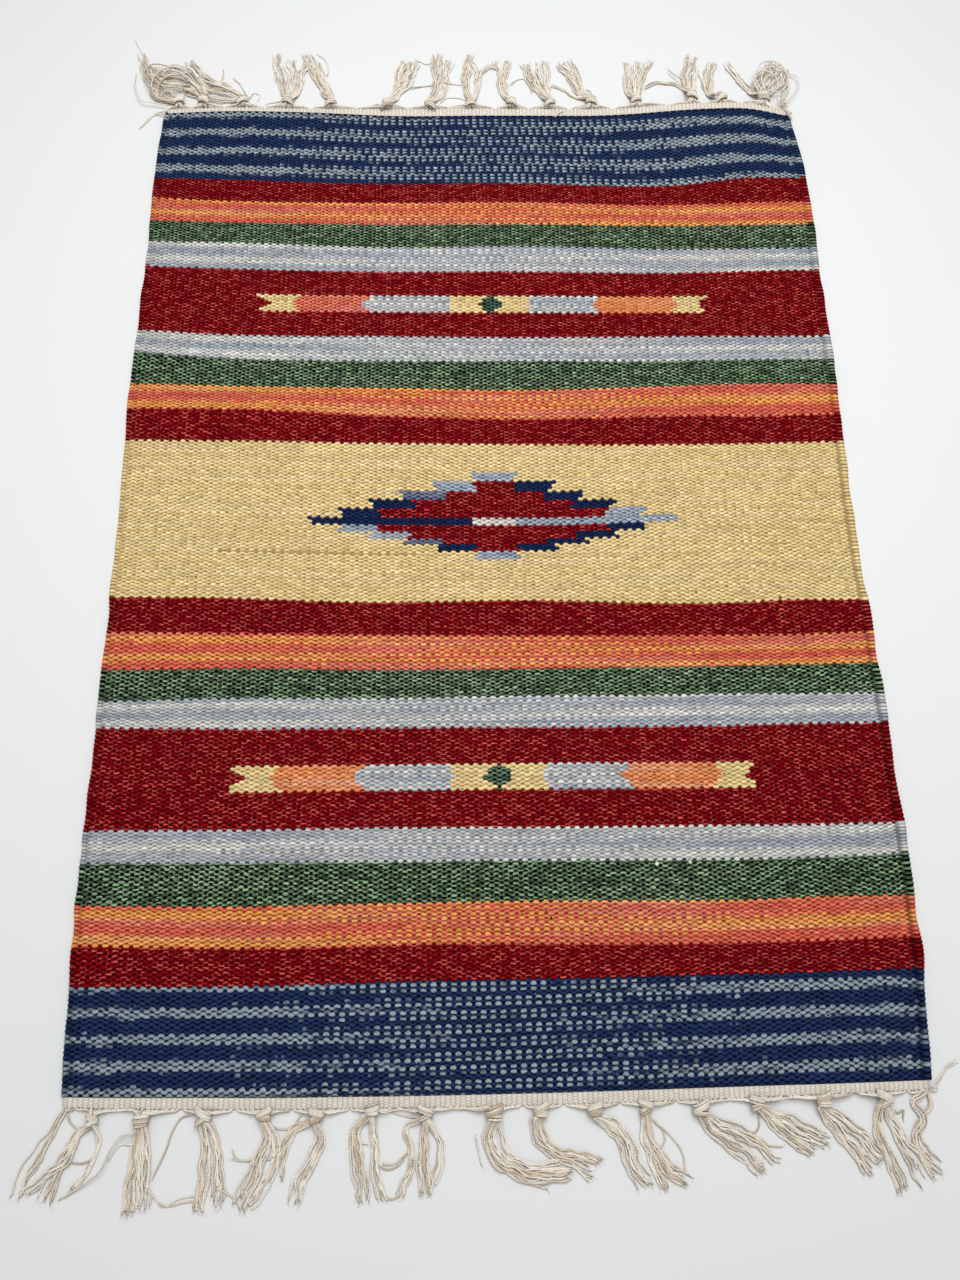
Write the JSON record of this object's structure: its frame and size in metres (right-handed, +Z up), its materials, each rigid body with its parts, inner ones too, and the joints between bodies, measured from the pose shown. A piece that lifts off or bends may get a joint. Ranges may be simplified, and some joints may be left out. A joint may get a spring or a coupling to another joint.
{
  "type": "kilim rug",
  "caption": "Small flat-woven kilim rug lying flat, with cross stripes, a stepped medallion, cotton headings and knotted fringe at both ends.",
  "frame": {"origin": "middle of the woven cloth, on its flat underside", "axes": "+X across the rug to the right, +Y along the rug to its far end, +Z up out of the pattern side"},
  "size_m": [0.6411, 0.9981, 0.0123],
  "materials": {
    "field_wool": "matte",
    "heading_cotton": "matte",
    "fringe_cotton": "matte"
  },
  "bodies": {
    "root": {"field": "field_wool", "heading_far": "heading_cotton", "heading_near": "heading_cotton", "tassel_far_01": "fringe_cotton", "tassel_far_02": "fringe_cotton", "tassel_far_03": "fringe_cotton", "tassel_far_04": "fringe_cotton", "tassel_far_05": "fringe_cotton", "tassel_far_06": "fringe_cotton", "tassel_far_07": "fringe_cotton", "tassel_far_08": "fringe_cotton", "tassel_far_09": "fringe_cotton", "tassel_far_10": "fringe_cotton", "tassel_far_11": "fringe_cotton", "tassel_far_12": "fringe_cotton", "tassel_far_13": "fringe_cotton", "tassel_far_14": "fringe_cotton", "tassel_far_15": "fringe_cotton", "tassel_near_01": "fringe_cotton", "tassel_near_02": "fringe_cotton", "tassel_near_03": "fringe_cotton", "tassel_near_04": "fringe_cotton", "tassel_near_05": "fringe_cotton", "tassel_near_06": "fringe_cotton", "tassel_near_07": "fringe_cotton", "tassel_near_08": "fringe_cotton", "tassel_near_09": "fringe_cotton", "tassel_near_10": "fringe_cotton", "tassel_near_11": "fringe_cotton", "tassel_near_12": "fringe_cotton", "tassel_near_13": "fringe_cotton", "tassel_near_14": "fringe_cotton", "tassel_near_15": "fringe_cotton", "tassel_near_16": "fringe_cotton", "tassel_near_17": "fringe_cotton"}
  },
  "joints": []
}
